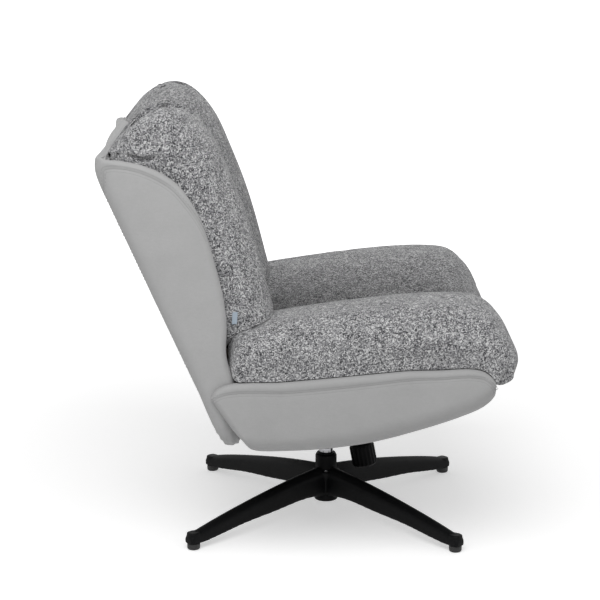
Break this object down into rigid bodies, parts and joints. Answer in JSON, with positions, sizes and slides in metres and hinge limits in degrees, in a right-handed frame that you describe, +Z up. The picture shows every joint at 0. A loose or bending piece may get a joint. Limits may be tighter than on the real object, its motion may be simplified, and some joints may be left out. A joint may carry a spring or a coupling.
{
  "type": "star base swivel recliner",
  "caption": "Upholstered lounge chair on a star base that swivels on a column and tilts back against a spring set by a knob.",
  "frame": {"origin": "on the floor, below the middle of the chair's length and width", "axes": "+X towards the front of the seat, +Y towards the sitter's left, +Z up"},
  "size_m": [0.7792, 0.714, 0.8479],
  "materials": {
    "grey_leather": "soft matt grain with double topstitching",
    "grey_tweed": "coarse black, grey and white boucle tweed",
    "beech": "planed, unfinished",
    "black_metal": "satin black powder coat",
    "chrome": "polished",
    "black_plastic": "matt moulded",
    "nylon": "matt moulded",
    "stop_rubber": "matt",
    "elastic_webbing": "woven elastic webbing",
    "spring_steel": "dark oiled spring steel",
    "zinc_steel": "zinc plated"
  },
  "bodies": {
    "base": {"star_base": "black_metal", "foot_glide_1": "nylon", "foot_glide_2": "nylon", "foot_glide_3": "nylon", "foot_glide_4": "nylon", "column_tube": "chrome", "collar_cap": "black_metal", "collar_ring": "black_plastic", "column_bush": "nylon", "bearing_lower_race": "spring_steel", "bearing_balls": "spring_steel", "bearing_upper_race": "spring_steel", "spindle_washer": "zinc_steel"},
    "mechanism": {"spindle": "chrome", "spindle_clip": "spring_steel", "base_bracket": "black_metal", "pivot_bush_left": "nylon", "pivot_bush_right": "nylon", "axle_clip_left": "spring_steel", "axle_clip_right": "spring_steel", "stop_pad_left": "stop_rubber", "stop_pad_right": "stop_rubber", "pivot_axle": "zinc_steel", "limit_pin": "zinc_steel", "knob_washer": "nylon"},
    "knob": {"tension_knob": "black_plastic", "tension_bolt": "zinc_steel"},
    "cup": {"spring_cup": "zinc_steel"},
    "seat": {"tension_spring": "spring_steel", "seat_plate": "black_metal", "plate_bolt_1": "zinc_steel", "plate_bolt_2": "zinc_steel", "plate_bolt_3": "zinc_steel", "plate_bolt_4": "zinc_steel", "spring_seat": "black_metal", "seat_shell": "grey_leather", "back_shell": "grey_leather", "seat_cushion": "grey_tweed", "back_cushion": "grey_tweed", "seat_rail_left": "beech", "seat_rail_right": "beech", "seat_rail_front": "beech", "cross_member_front": "beech", "cross_member_rear": "beech", "seat_spring_1": "spring_steel", "seat_spring_2": "spring_steel", "seat_spring_3": "spring_steel", "seat_spring_4": "spring_steel", "seat_rail_rear": "beech", "back_post_left": "black_metal", "back_bracket_left": "black_metal", "bracket_bolt_left": "zinc_steel", "back_post_right": "black_metal", "back_bracket_right": "black_metal", "bracket_bolt_right": "zinc_steel", "back_rail_top": "black_metal", "back_rail_low": "black_metal", "back_strap_1": "elastic_webbing", "back_strap_2": "elastic_webbing", "back_strap_3": "elastic_webbing"}
  },
  "joints": [
    {"name": "swivel", "type": "hinge", "parent": "base", "child": "mechanism", "pos_m": [0.04836, 0, 0.1], "axis": [0, 0, 1], "continuous": true},
    {"name": "tilt", "type": "hinge", "parent": "mechanism", "child": "seat", "pos_m": [-0.03764, 0, 0.252], "axis": [0, -1, 0], "range_deg": [0, 12], "stiffness_Nm_per_rad": 120, "springref_deg": -14.32, "deforming": ["tension_spring"]},
    {"name": "knob_turn", "type": "hinge", "parent": "mechanism", "child": "knob", "pos_m": [0.12336, 0, 0.113], "axis": [-0.1908, 0, 0.9816], "range_deg": [0, 2160]},
    {"name": "cup_slide", "type": "slide", "parent": "mechanism", "child": "cup", "axis": [0.1908, 0, -0.9816], "range_m": [0, 0.012]}
  ],
  "couplings": [
    {"joint": "knob_turn", "follows": "cup_slide", "rad_per_m": 3141.5}
  ]
}
